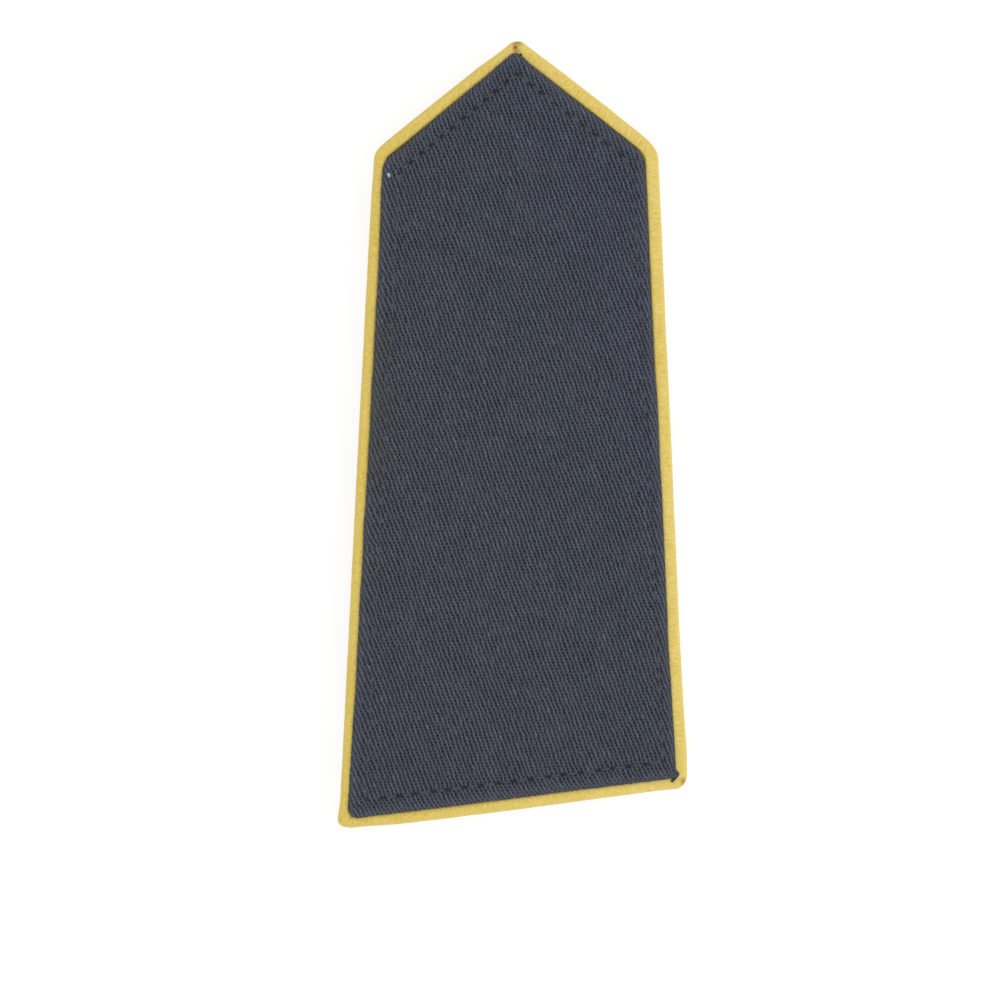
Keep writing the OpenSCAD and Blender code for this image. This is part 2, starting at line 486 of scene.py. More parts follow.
def twill_gaps(c, ribs, picks, bold):
    """The ribs, which wander a little, the gaps between them and the weft's dots, which lean there."""
    rib = c.add(ribs, c.sway(c.noise(c.vector(ribs, picks), scale=0.5), RIB_SWAY))
    pick = c.add(picks, c.sway(c.noise(c.vector(ribs, picks, 5.0), scale=0.5), PICK_SWAY))
    gap = c.less(1.0, c.power(c.wave(rib), c.line(bold, *RIB_LINE)))
    pick = c.line(c.math("FRACT", rib), LEAN, pick)
    weft = c.power(c.wave(pick, 0.5 + LEAN / 2), WEFT_POWER)
    dot = c.times(c.power(c.wave(rib, 0.5), DOT_POWER), weft)
    own = c.chance(c.vector(rib, c.less(pick, LEAN / 2), 7.0))
    return rib, gap, c.times(dot, c.blend(own, 0.0, 1.0, *DOT_SPREAD))


def twill_cloth():
    """Warp-faced twill: light slanted ribs, with painted shade in the gaps between them and a darker
    painted-shade dot in each gap where a weft thread shows.
    """
    c = Cloth("twill_cloth", roughness=0.95, specular=0.1, sheen=0.03)
    ribs, picks = c.map("weave")
    edge, hole_shade = c.map("border")
    # Near the edge the ribs are broader, and their gaps hide the weft
    bold = c.blend(edge, *BOLD_BLEND)
    rib, gap, dot = twill_gaps(c, ribs, picks, bold)
    # Painted shade: the gaps between ribs and the weft's dots are darkened in colour, as shade in the
    # recesses
    shade = c.add(c.times(gap, c.line(bold, *GAP_LINE)), c.times(dot, c.line(bold, *DOT_LINE)))
    light = c.less(1.0, shade)
    for sway, *noise_row in TONES:
        light = c.add(light, c.sway(c.weave(ribs, picks, *noise_row), sway))
    # Each float has its own tone, a few get a painted glint along the rib's crest, and the rolled edge
    # is lighter
    float_ends = c.line(ribs, FLOAT_PICKS, picks)
    own = c.chance(c.vector(float_ends, c.times(picks, 1 / FLOAT_PICKS)))
    painted_glint = c.blend(c.chance(c.vector(c.add(ribs, 0.5), picks, 11.0)), *PAINTED_GLINT_BLEND)
    light = c.add(c.add(light, c.sway(own, FLOAT_SWAY)), c.times(painted_glint, c.wave(rib)))
    light = c.math("MAXIMUM", c.add(light, c.blend(edge, *EDGE_LIGHT)), LEAST_LIGHT)
    # The cloth is very slightly bluer to the upper right
    x, y = c.split(c.place())
    blue = c.blend(c.line(y, BLUE_RISE, x), *BLUE_BLEND)
    # The colours run from painted shade in the gaps to a painted highlight on the ribs' tops
    dark = c.mix(blue, srgb(38, 42, 50), srgb(37.3, 42, 53))
    painted_rib_light = c.mix(blue, srgb(90, 94, 103.5), srgb(88.3, 93.6, 107.5))
    colour = c.mix(light, dark, painted_rib_light, clamp=False)
    # Some yarns are browner, the edge is duller, and the needle holes' dimples are darkened with
    # painted shade
    brown = c.weave(ribs, picks, *BROWN_YARNS)
    colour = c.mix(c.blend(brown, *BROWN_BLEND), colour, srgb(62, 59, 58))
    colour = c.mix(c.blend(edge, *EDGE_BLEND), colour, srgb(74, 72, 72))
    colour = c.mix(c.blend(hole_shade, *HOLE_SHADE_BLEND), colour, srgb(36, 38, 42))
    colour = c.marked(colour, FACE_MARKS, FACE_Z, core=0.4)
    fuzz = c.noise(c.place(), scale=9000.0, detail=3.0)
    relief = c.less(1.0, c.add(c.times(gap, 0.5), c.times(dot, 0.5)))
    return c.finish(colour, c.add(relief, c.times(fuzz, 0.25)), depth=0.06)


# Piping cloth: flecks to a millimetre, and their noise on each bias as scales, shift, detail, roughness
BIAS = 2.6
RIGHT_FLECKS, LEFT_FLECKS = (BIAS, 1.0, 0.0, 2.0, 0.6), (1.0, BIAS, 4.0, 2.0, 0.6)
PAINTED_LIGHT_LINE = (4.4, 0.05)  # painted light: how much lighter the piping is for each metre to the right, toward the light, and in the middle


def piping_cloth():
    """Fine bias-cut cloth with a slight crepe: short flecks that lean both ways across the cord."""
    c = Cloth("piping_cloth", roughness=0.75, specular=0.25, sheen=0.1)
    along, around = c.map("cord")
    right, left = c.add(along, around), c.less(along, around)
    choice = c.noise(c.vector(along, around, 9.0), scale=0.45, detail=1.0)
    fleck = c.add(
        c.times(c.weave(right, left, *RIGHT_FLECKS), c.blend(choice, 0.4, 0.6)),
        c.times(c.weave(right, left, *LEFT_FLECKS), c.blend(choice, 0.4, 0.6, 1.0, 0.0)),
    )
    yarn = c.times(c.wave(c.times(right, BIAS)), c.wave(c.times(left, BIAS)))
    patch = c.noise(c.vector(along, around, 2.0), scale=0.16)
    light = c.add(c.blend(fleck, 0.25, 0.75), c.sway(yarn, 0.14))
    # Painted light: the piping is lighter toward the right, where the key light falls
    painted_light_right = c.line(c.split(c.place())[0], *PAINTED_LIGHT_LINE)
    light = c.add(c.add(light, c.sway(patch, 0.45)), painted_light_right)
    colour = c.mix(light, srgb(213, 184, 75), srgb(236, 212, 125), clamp=False)
    colour = c.marked(colour, CORD_MARKS, CORD_TOP_Z, core=0.3)
    return c.finish(colour, c.add(c.times(fleck, 0.8), c.times(yarn, 0.3)), depth=0.035)


def felt():
    c = Cloth("felt", roughness=0.95, specular=0.1, sheen=0.15)
    cloud = c.noise(c.place(), scale=260.0, detail=3.0)
    fibre = c.noise(c.place(), scale=3200.0, detail=5.0, roughness=0.7)
    light = c.add(c.times(cloud, 0.5), c.times(fibre, 0.7))
    colour = c.mix(c.blend(light, 0.35, 0.85), srgb(33, 35, 42), srgb(66, 69, 78))
    return c.finish(colour, c.add(fibre, c.times(cloud, 0.6)), depth=0.12)


def webbing():
    """Rows of short floats, each row half a float on from the next."""
    c = Cloth("webbing", roughness=0.85, specular=0.2, sheen=0.05)
    along, across = c.map("web")
    rows = c.times(across, 1 / WEB_ROW)
    row = c.math("FLOOR", rows)
    floats = c.line(row, 0.5, c.times(along, 1 / WEB_FLOAT))
    bead = c.times(c.power(c.wave(rows, 0.5), 0.5), c.power(c.wave(floats, 0.5), 0.4))
    own = c.chance(c.vector(floats, row, 2.0))
    yarn = c.weave(along, across, 2.6, 9.0)
    patch = c.noise(c.vector(along, across), scale=0.12)
    light = c.add(c.times(bead, 0.8), c.sway(yarn, 0.7))
    light = c.add(light, c.add(c.sway(own, 0.15), c.sway(patch, 0.3)))
    colour = c.mix(light, srgb(28, 30, 37), srgb(72, 76, 88))
    return c.finish(colour, c.add(bead, c.times(yarn, 0.25)), depth=0.16)


def thread(name, dark, light):
    """Two plies, with 2.2 turns to a millimetre."""
    c = Cloth(name, roughness=0.6, specular=0.3, sheen=0.0)
    along, turn = c.map("twist")
    ply = c.wave(c.add(c.times(turn, 2.0), c.times(along, 2.2)))
    fleck = c.noise(c.place(), scale=2500.0, detail=3.0)
    share = c.add(c.times(ply, 0.5), c.times(fleck, 0.5))
    return c.finish(c.mix(share, dark, light), ply, depth=0.04)


# Face panel

FACE_CORNERS = moved_in(sharp_corners("face_panel"), FACE_TRIM)
FACE_LOW, FACE_HIGH = node_box("face_panel")
CROWN_RISE, CROWN_RUN = 0.3, 7.0
BORDER_Z = FACE_HIGH[2] - CROWN_RISE
ROLL_WIDTH = 0.75  # of the rolled edge, seen from above
ROLL_RISE = 0.45  # from the edge's outermost line up to the border
ROLL_ANGLES = (90, 80, 70, 60, 50, 40, 30, 18, 6)
# Under the edge, over the cord: inset, height above the face's underside
UNDER_EDGE = ((0.03, 1.0), (0.2, 0.96), (0.62, 0.6), (1.1, 0.0), (1.5, 0.0))
# The seam's groove, and at each needle hole a dimple in a wide, shallow one that gathers the yarns
GROOVE_DEPTH, GROOVE_WIDTH = 0.1, 0.5
DIMPLE_DEPTH, DIMPLE_ALONG, DIMPLE_ACROSS = 0.3, 0.72, 0.3
WIDE_DEPTH, WIDE_ALONG, WIDE_ACROSS = 0.07, 1.1, 0.9
GATHER, GATHER_REACH = 0.2, 0.75
HOLE_UNEVEN = 0.11  # how far a needle hole is off its place, in stitches
# Waves: height, wavelength, seed. Those at the seam also have the reach from it
FACE_WAVE = (0.05, 24.0, 5)
SEAM_WAVES = (((0.05, 7.0, 6), 4.0), ((0.02, 2.4, 7), 2.6))
RIB_WANDER = ((0.30, 9.0, 1), (0.10, 2.6, 2))
PICK_WANDER = ((0.22, 8.0, 3), (0.09, 2.2, 4))
EDGE_WANDER, EDGE_REACH = ((0.07, 3.0, 8), (0.06, 9.0, 9), (0.09, 0.6, 10)), 1.3
FACE_SPACING = 0.24
# Where the edge is out of line: side, mm along it, outward, reach
EDGE_STRAYS = (
    (0, 7.5, -0.11, 5), (0, 21.5, -0.13, 8),
    (1, 3.3, 0.14, 4), (1, 19, -0.1, 7), (1, 50, -0.24, 40), (1, 62.5, 0.16, 3),
    (1, 69, -0.05, 3), (1, 88.5, -0.18, 5), (1, 112.5, 0.08, 3),
    (2, 16, 0.04, 8), (2, 46, 0.1, 8),
    (3, 22, -0.21, 11), (3, 62, 0.14, 5), (3, 70, -0.07, 6), (3, 85, -0.13, 11),
    (4, 14, -0.05, 5), (4, 25.3, 0.7, 1.0),
)
# The face's point is turned under square at this pixel row, and its right base corner is pulled out
POINT_CUT_PIXEL, POINT_REACH = (515, 52.9), 1.6
EAR_PIXEL, EAR_PULL, EAR_REACH, EAR_RISE = (676.0, 774.0), (3.5, -0.4), 0.56, 0.06
FACE_STEPS = side_steps(FACE_CORNERS, FACE_SPACING)
BORDER_SHARES = (0.12, 0.26, 0.42, 0.57, 0.69, 0.79, 0.87, 0.94, 1.0)
BEYOND = (0.12, 0.25, 0.4, 0.6, 0.85, 1.15, 1.5, 2.0, 2.7, 3.6, 4.7, 5.8, CROWN_RUN)
FIELD_GRID, ROW_GAP = 1.1, 0.87  # of the middle's points, and from row to row in grids
FAR_INSIDE = 20.0  # stands for the middle's way from the edge and the seam
# The underside's place in the bake map
CAP_SCALE, CAP_PLACE = 0.4, (0.55, 0.3)


def face_ring(roll_inset, share=0.0, beyond=0.0):
    """A ring of the face: within the roll, a share of the way on to the stitch line, or beyond it."""
    insets = roll_inset + share * (STITCH_SPAN - ROLL_WIDTH) + beyond
    shrink = roll_inset + share * (STITCH_SPAN.min() - ROLL_WIDTH) + beyond
    return ring(moved_in(FACE_CORNERS, insets), np.maximum(CREASE, FACE_RADIUS - shrink), FACE_STEPS)


STITCH_LINE = face_ring(ROLL_WIDTH, 1.0)[0]
# How plainly the seam shows at each column of the face's rings
SEAM_SHOW = evened(STITCH_SHOW[sides_of(FACE_STEPS, len(STITCH_LINE))], SIDE_BLEND)


def needle_holes():
    """Needle holes along the stitch line, a side's own pitch apart, and the way ahead at each."""
    pick = random.Random(4)
    along = lengths_along(STITCH_LINE)
    closed = np.vstack([STITCH_LINE, STITCH_LINE[:1]])
    marks = along[corner_columns(FACE_STEPS)]
    places = []
    for i in range(SIDES):
        length = (marks[(i + 1) % SIDES] - marks[i]) % along[-1]
        count = round(length / STITCH_PITCH[i])
        for k in range(count):
            beyond = (k + pick.uniform(-HOLE_UNEVEN, HOLE_UNEVEN)) * length / count
            places.append((marks[i] + beyond) % along[-1])
    places = np.array(sorted(places))
    holes = np.stack([np.interp(places, along, closed[:, k]) for k in (0, 1)], 1)
    return holes, unit(shifted(holes) - np.roll(holes, 1, axis=0))


HOLES, HOLE_AHEAD = needle_holes()


def hole_offsets(points):
    """For each point, the nearest needle hole and the way from it, along and across the seam."""
    away = points[:, None] - HOLES[None]
    nearest = np.argmin((away ** 2).sum(2), axis=1)
    gap = away[np.arange(len(points)), nearest]
    ahead = HOLE_AHEAD[nearest]
    return nearest, (gap * ahead).sum(1), np.cross(ahead, gap)


def face_rows():
    """Rings from the underside round the rolled edge and over the border and the crown, each as
    (ring, height, way round the roll from its top). The border and crown have no way."""
    rows = []
    way = 0.0
    section = [
        (ROLL_WIDTH * (1 - math.cos(angle)), BORDER_Z - ROLL_RISE * (1 - math.sin(angle)))
        for angle in np.radians(ROLL_ANGLES)
    ]
    section += [(inset, FACE_LOW[2] + up) for inset, up in UNDER_EDGE]
    for k, (inset, z) in enumerate(section):
        if k:
            way += math.dist(section[k - 1], (inset, z))
        rows.append((face_ring(inset), z, way))
    rows.reverse()
    for share in BORDER_SHARES:
        rows.append((face_ring(ROLL_WIDTH, share), BORDER_Z, None))
    for beyond in BEYOND:
        rise = CROWN_RISE * (1 - (1 - beyond / CROWN_RUN) ** 2)
        rows.append((face_ring(ROLL_WIDTH, 1.0, beyond), BORDER_Z + rise, None))
    return rows


def field_points(boundary):
    """A grid of points inside the face's last ring, and the triangles that fill its middle."""
    low, high = boundary.min(0), boundary.max(0)
    inner = moved_in(FACE_CORNERS, STITCH_SPAN + CROWN_RUN + FIELD_GRID * 0.6)
    inward = left_of(unit(shifted(inner) - inner))
    grid = [
        (x + (0.5 * FIELD_GRID if k % 2 else 0), y)
        for k, y in enumerate(np.arange(low[1], high[1], FIELD_GRID * ROW_GAP))
        for x in np.arange(low[0], high[0], FIELD_GRID)
    ]
    grid = np.array([g for g in grid if ((np.array(g) - inner) * inward).sum(1).min() > 0])
    points = np.vstack([boundary, grid])
    loop = list(range(len(boundary)))
    made = delaunay_2d_cdt([Vector(p) for p in points], [], [loop], 1, 1e-6)
    source = [ids[0] for ids in made[3]]
    return grid, [[source[i] for i in f] for f in made[2]]


def weave_place(points, flat):
    """Rib and pick counts at unrolled places of the cloth."""
    to_counts = np.linalg.inv(np.array([RIB_STEP, PICK_STEP]).T)
    counts = flat @ to_counts.T
    counts[:, 0] += ripples(points, *RIB_WANDER)
    counts[:, 1] += ripples(points, *PICK_WANDER)
    return counts


def lay_out(rows, top):
    """The face's points as plan, height, unrolled place, way in from the edge and way past the seam,
    and the triangles of its middle."""
    first_inside = len(rows) - len(BEYOND)
    top_points, outward = rows[top][0]
    parts = []
    for k, ((points, _), z, way) in enumerate(rows):
        away = np.linalg.norm(points - STITCH_LINE, axis=1)
        if way is None:
            flat = points
            edge = np.linalg.norm(points - top_points, axis=1) + ROLL_WIDTH
        else:
            flat = top_points + outward * way
            edge = np.full(len(points), ROLL_WIDTH - way)
        past = away if k >= first_inside else -away
        parts.append((points, np.full(len(points), z), flat, edge, past))
    grid, middle = field_points(points)
    far = np.full(len(grid), FAR_INSIDE)
    parts.append((grid, np.full(len(grid), z), grid, far, far))
    return [np.concatenate(part) for part in zip(*parts)], middle


def border_drag(rows, top, past, outward, side):
    """How far the border's cloth is dragged along its edge, for each unrolled place."""
    columns = len(side)
    drag = evened(np.array(WEAVE_DRAG)[side], SIDE_BLEND)
    to_top = -past[top * columns:(top + 1) * columns]
    pull = np.zeros((len(past), 2))
    for k, (_, _, way) in enumerate(rows):
        part = slice(k * columns, (k + 1) * columns)
        reach = to_top + way if k < top else np.maximum(0.0, -past[part])
        pull[part] = -left_of(outward) * (drag * reach)[:, None]
    return pull


def sewn(plan, height, flat, past, ring_rows, on_top):
    """The height and unrolled places after the seam is drawn in, and the dimples."""
    nearest, along, across = hole_offsets(plan)
    show = np.tile(SEAM_SHOW, ring_rows)
    show = np.concatenate([show, np.zeros(len(plan) - len(show))])
    dimple = show * bell(along, DIMPLE_ALONG) * bell(across, DIMPLE_ACROSS)
    wide_dimple = show * bell(along, WIDE_ALONG) * bell(across, WIDE_ACROSS)
    groove = GROOVE_DEPTH * show * bell(past, GROOVE_WIDTH)
    groove = groove + DIMPLE_DEPTH * dimple + WIDE_DEPTH * wide_dimple
    lift = ripples(plan, FACE_WAVE)
    for wave, reach in SEAM_WAVES:
        lift += ripples(plan, wave) * bell(past, reach)
    gather = (GATHER * bell(np.hypot(along, across), GATHER_REACH))[:, None]
    height = height + np.where(on_top, lift - groove, 0.0)
    flat = flat + np.where(on_top[:, None], gather * (plan - HOLES[nearest]), 0.0)
    return height, flat, dimple * on_top


def edge_stray(points, top_points, outward, from_edge):
    """How far each point of the rings is aside, because the edge is not quite straight."""
    count = len(points) // len(top_points)
    wander = ripples(points, *EDGE_WANDER)
    wander += np.tile(out_of_line(top_points, FACE_STEPS, EDGE_STRAYS), count)
    return np.tile(outward, (count, 1)) * (wander * bell(from_edge, EDGE_REACH))[:, None]


def corners_shaped(plan, height, flat, from_edge):
    """The point turned under square, and the right base corner pulled out over the cord."""
    ringed = slice(0, len(from_edge))
    limit = from_photo(*POINT_CUT_PIXEL, BORDER_Z)[1] - np.maximum(0.0, from_edge)
    over = np.maximum(0.0, plan[ringed, 1] - limit) * bell(from_edge, POINT_REACH)
    plan[ringed, 1] -= over
    flat[ringed, 1] -= over
    ear = from_photo(*EAR_PIXEL, BORDER_Z)
    pull = from_photo(*np.add(EAR_PIXEL, EAR_PULL), BORDER_Z) - ear
    tug = bell(np.linalg.norm(plan - ear, axis=1), EAR_REACH)
    return plan + tug[:, None] * pull, height + EAR_RISE * tug, flat + tug[:, None] * pull


def build_face(material):
    rows = face_rows()
    top = next(k for k, row in enumerate(rows) if row[2] == 0.0)
    top_points, outward = rows[top][0]
    columns = len(top_points)
    side = sides_of(FACE_STEPS, columns)
    (plan, height, flat, edge, past), middle = lay_out(rows, top)
    flat = flat + border_drag(rows, top, past, outward, side)
    on_top = np.arange(len(plan)) >= top * columns
    height, flat, dimple = sewn(plan, height, flat, past, len(rows), on_top)
    ringed = slice(0, len(rows) * columns)
    from_edge = np.tile(STITCH_SPAN[side], len(rows)) + np.minimum(past[ringed], 0)
    aside = edge_stray(plan[ringed], top_points, outward, from_edge)
    plan[ringed] += aside
    flat[ringed] += aside
    plan, height, flat = corners_shaped(plan, height, flat, from_edge)

    quads, _, _ = loft(len(rows), columns)
    start = (len(rows) - 1) * columns
    cap = list(range(columns))[::-1]
    faces = quads.tolist() + [[i + start for i in f] for f in middle] + [cap]
    corners = np.concatenate([np.array(f) for f in faces])
    counts = weave_place(plan, flat)[corners]
    # The border map: the way in from the edge, and the dimples, which the twill darkens with painted
    # shade
    border = np.column_stack([edge, dimple])[corners]
    spread = packed(flat - flat.min(0), np.ptp(flat, axis=0).max())
    bake = spread[corners]
    bake[-columns:] = spread[cap] * CAP_SCALE + CAP_PLACE
    maps = {"weave": counts, "border": border, "OFBake": bake}
    return make_piece("twill_face", np.column_stack([plan, height]), faces, material, maps)


# Piping

OUTER_CORNERS = sharp_corners("piping")
PIPE_LOW, PIPE_HIGH = node_box("piping")
CORD_RADIUS = (PIPE_HIGH[2] - PIPE_LOW[2]) / 2
CORD_Z = (PIPE_HIGH[2] + PIPE_LOW[2]) / 2
FLANGE_INSET, FLANGE_HALF, CORD_SIDES = 2 * CORD_RADIUS + 3.0, 0.2, 26
# Fullness of its section at the start and end of each side; 2 is round
CORD_FULLNESS = np.array([(2.2, 3.6), (2.5, 2.3), (2.4, 2.4), (4.2, 4.8), (5.4, 3.6)])
CORD_SWELL = ((0.030, 5.0, 11), (0.015, 1.6, 12))
CORD_WANDER = (0.03, 5.0, 13)
# Creases near the corners: height, wavelength, seed, reach and turn round the cord
FOLD, FOLD_LENGTH, FOLD_SEED, FOLD_REACH, FOLD_TWIST = 0.055, 0.9, 14, 2.6, 3.0
PIPE_STEPS = side_steps(OUTER_CORNERS, spacing=0.36)
STRIP_GAP = 1.5  # between the sides' strips in the bake map
# Where the cord is out of line: side, mm along it, outward, reach
CORD_STRAYS = (
    (0, 2.6, -0.22, 3.4), (0, 15, 0.04, 6), (0, 31, -0.16, 2.2),
    (1, 2, -0.16, 4), (1, 50, 0.06, 22), (1, 113.5, 0.28, 1.5),
    (2, 1.5, -0.44, 6), (2, 27, 0.09, 14), (2, 59, 0.22, 1.8),
    (3, 6, 0.27, 5.5), (3, 16, 0.07, 5), (3, 58, 0.05, 14), (3, 100, 0.08, 14),
    (4, 0.5, -0.16, 2.2), (4, 17, 0.12, 10),
)


def fuller(share, fullness):
    """A sine or cosine swelled a little, for a cord that is flattened by its cover."""
    return math.copysign(1, share) * abs(share) ** (2 / fullness)


def cord_section():
    """The section as inset, height and angle round the cord, and last the flange, without angles."""
    slip = math.asin(FLANGE_HALF / CORD_RADIUS)
    angles = -slip - (TURN - 2 * slip) * np.arange(CORD_SIDES + 1) / CORD_SIDES
    cord = [(CORD_RADIUS * (1 + math.cos(a)), CORD_RADIUS * math.sin(a), a) for a in angles]
    return cord + [(FLANGE_INSET, FLANGE_HALF, None), (FLANGE_INSET, -FLANGE_HALF, None)]


def cord_shape(rim):
    """How much the cord swells, creases, stands out of line and is full at each column of its rim."""
    corners = rim[corner_columns(PIPE_STEPS)]
    to_corner = np.linalg.norm(rim[:, None] - corners[None], axis=2).min(1)
    stray = ripples(rim, CORD_WANDER) + out_of_line(rim, PIPE_STEPS, CORD_STRAYS)
    side, place = sides_of(PIPE_STEPS, len(rim)), places_along(rim, PIPE_STEPS)
    longest = np.array([place[side == i].max() for i in range(SIDES)])
    first, last = CORD_FULLNESS[side].T
    fullness = evened(first + (last - first) * (place / longest[side]), CORD_BLEND)
    return ripples(rim, *CORD_SWELL), bell(to_corner, FOLD_REACH), stray, fullness


def strip_map(lengths, column, along, width):
    """The cord's bake map: its sides as strips, one above the other."""
    marks = corner_columns(PIPE_STEPS)[1:]
    strips = np.searchsorted(marks, column.min(1), side="right")[:, None]
    starts = np.concatenate([[0], along[marks]])
    longest = np.diff(np.append(starts, along[-1])).max()
    pitch = width + STRIP_GAP
    bake = np.stack([lengths[..., 0] - starts[strips], lengths[..., 1] + strips * pitch], -1)
    return packed(bake, max(longest, pitch * SIDES))


def build_piping(material):
    rim, outward = ring(OUTER_CORNERS, OUTER_RADIUS, PIPE_STEPS)
    section = cord_section()
    swell, crease, stray, fullness = cord_shape(rim)
    rings = []
    for inset, z, angle in section:
        radii = np.maximum(CREASE, OUTER_RADIUS - inset)
        plan, _ = ring(moved_in(OUTER_CORNERS, inset), radii, PIPE_STEPS)
        height = np.full(len(rim), CORD_Z + z)
        if angle is not None:
            across, up = math.cos(angle), math.sin(angle)
            grow = swell + FOLD * crease * ripple(rim + FOLD_TWIST * angle, FOLD_LENGTH, FOLD_SEED)
            inward = CORD_RADIUS * (fuller(across, fullness) - across)
            out = -across * grow + stray * (1 - inset / FLANGE_INSET) - inward
            plan = plan + outward * out[:, None]
            height = CORD_Z + CORD_RADIUS * fuller(up, fullness) + up * grow
        rings.append(np.column_stack([plan, height]))
    quads, row, column = loft(len(section), len(rim), closed_rows=True)

    along, around = lengths_along(rim), lengths_along(np.array([s[:2] for s in section]))
    lengths = np.stack([along[column], around[row]], -1)
    bake = strip_map(lengths, column, along, around[-1])
    maps = {"cord": lengths[:, ::-1].reshape(-1, 2), "OFBake": bake[:, ::-1].reshape(-1, 2)}
    return make_piece("piping_cord", np.concatenate(rings), quads[:, ::-1], material, maps)


# Backing

BACK_LOW, BACK_HIGH = node_box("backing")
BACK_CORNERS = sharp_corners("backing")
BACK_INSET, BACK_SPACING = 2.5, 1.0
BACK_ROUND = 0.18  # rounding of the cut edge
BACK_PLAY = 0.04  # kept free for its roughness
# Its section round the edge: inset, and share of the half thickness
BACK_SECTION = (
    (14, -1), (7, -1), (3, -1), (1, -1), (BACK_ROUND, -1), (0.3 * BACK_ROUND, -0.85), (0, -0.5),
    (0, 0.5), (0.3 * BACK_ROUND, 0.85), (BACK_ROUND, 1), (3, 1), (14, 1),
)


def build_backing(material):
    steps = side_steps(BACK_CORNERS, BACK_SPACING)
    radii = np.maximum(CREASE, OUTER_RADIUS - BACK_INSET)
    middle, half = (BACK_HIGH[2] + BACK_LOW[2]) / 2, (BACK_HIGH[2] - BACK_LOW[2]) / 2
    rings = []
    for inset, share in BACK_SECTION:
        points, _ = ring(moved_in(BACK_CORNERS, inset), np.maximum(CREASE, radii - inset), steps)
        rough = ripples(points, (0.03, 1.3, 21 + share), (0.03, 6.0, 22)) * (abs(share) == 1)
        rings.append(np.column_stack([points, middle + share * (half - BACK_PLAY) + rough]))
    columns = len(rings[0])
    faces = capped(loft(len(rings), columns)[0], len(rings), columns)
    piece = make_piece("felt_back", np.concatenate(rings), faces, material)
    outline = ring(BACK_CORNERS, radii, steps)[0]
    return piece


# Strap band

BAND_LOW, BAND_HIGH = node_box("strap_band")
BAND_MIDDLE = (BAND_LOW[0] + BAND_HIGH[0]) / 2
HEM_X = BAND_HIGH[0] - BAND_MIDDLE
BAND_THICK, PASSAGE_WIDTH = 1.0, 38.0
FOOT_RADIUS = 0.6  # inside the fold at the foot of each wall
SHOULDER_RADIUS = 0.55  # of the middle line, at the top of each wall
SELVEDGE, SELVEDGE_LEAST = 0.45, 0.12  # run of its rounding, and the least share of thickness, squared
BAND_WAVE = (0.03, 9.0, 31)


def band_path():
    """The middle line of the webbing across the board, from one sewn edge to the other."""
    wall_x = PASSAGE_WIDTH / 2 + BAND_THICK / 2
    low, high = BAND_LOW[2] + BAND_THICK / 2, BAND_HIGH[2] - BAND_THICK / 2
    upper, lower = SHOULDER_RADIUS, FOOT_RADIUS + BAND_THICK / 2
    half = [(HEM_X, high), ((HEM_X + wall_x) / 2, high)]
    for k in range(7):
        a = math.radians(90 + 90 * k / 6)
        half.append((wall_x + upper + upper * math.cos(a), high - upper + upper * math.sin(a)))
    for k in range(9):
        a = math.radians(-90 * k / 8)
        half.append((wall_x - lower + lower * math.cos(a), low + lower + lower * math.sin(a)))
    flat = [(x, low) for x in np.linspace(wall_x - lower, 0, 9)[1:]]
    right = np.array(half + flat)
    left = right[:-1][::-1] * [-1, 1]
    return np.vstack([right, left])


def band_stations():
    """Places along the board, and the webbing's half thickness at each."""
    low, high = BAND_LOW[1], BAND_HIGH[1]
    ys = np.concatenate([
        np.linspace(low, low + SELVEDGE, 5),
        np.linspace(low + 2, high - 2, 36),
        np.linspace(high - SELVEDGE, high, 5),
    ])
    ends = np.minimum(1.0, np.minimum(ys - low, high - ys) / SELVEDGE)
    return ys, BAND_THICK / 2 * np.sqrt(np.maximum(SELVEDGE_LEAST, 1 - (1 - ends) ** 2))


def build_band(material):
    """The webbing's section along its middle line, swept along the board with round selvedges."""
    path = band_path()
    normal = left_of(unit(np.gradient(path, axis=0)))
    run = run_along(path)
    ys, thick = band_stations()
    loops = []
    for y, half in zip(ys, thick):
        wave = ripples(np.column_stack([run, np.full(len(run), y)]), BAND_WAVE)
        above, below = path + normal * half, path - normal * half
        above[:, 1] += wave
        below[:, 1] += wave
        section = np.vstack([above, below[::-1]])
        x, z = section[:, 0] + BAND_MIDDLE, np.maximum(section[:, 1], BAND_LOW[2])
        loops.append(np.column_stack([x, np.full(len(section), y), z]))
    columns = len(loops[0])
    quads, row, column = loft(len(loops), columns)
    runs = np.concatenate([run, run[::-1], run[:1]])
    web = np.stack([runs[column], ys[row]], -1).reshape(-1, 2)
    web = np.vstack([web, np.zeros((2 * columns, 2))])
    faces = capped(quads, len(loops), columns)
    piece = make_piece("webbing_band", np.concatenate(loops), faces, material, {"web": web})
    return piece


# Stitching

THREAD_RADIUS, THREAD_FLAT = 0.22, 0.5
THREAD_SPREAD = (0.85, 1.08)  # of the radius from stitch to stitch
THREAD_LIFT = (0, 0.015)
THREAD_SUNK, SNUG_SUNK = 0.03, 0.06  # below the groove, and further where the seam hardly shows
SLACK = (0.02, 0.09)  # how far a stitch swings aside
STITCH_SHARES = np.array([0.16, 0.19, 0.22, 0.26, 0.31, 0.39, 0.5, 0.61, 0.69, 0.74, 0.78, 0.81, 0.84])
# A stitch dives between these shares from its ends, and is thinner within the taper's run
THREAD_DIVE, DIVE_FROM, DIVE_TO, DIVE_POWER = 0.45, 0.31, 0.16, 1.3
TAPER, TAPER_RUN = 0.35, 0.14
BACK_SINK = 0.05  # of the stitches into the felt and the hems
HEM_INSETS, HEM_END, HEM_HOLES = (0.9, 2.3), 1.6, 22
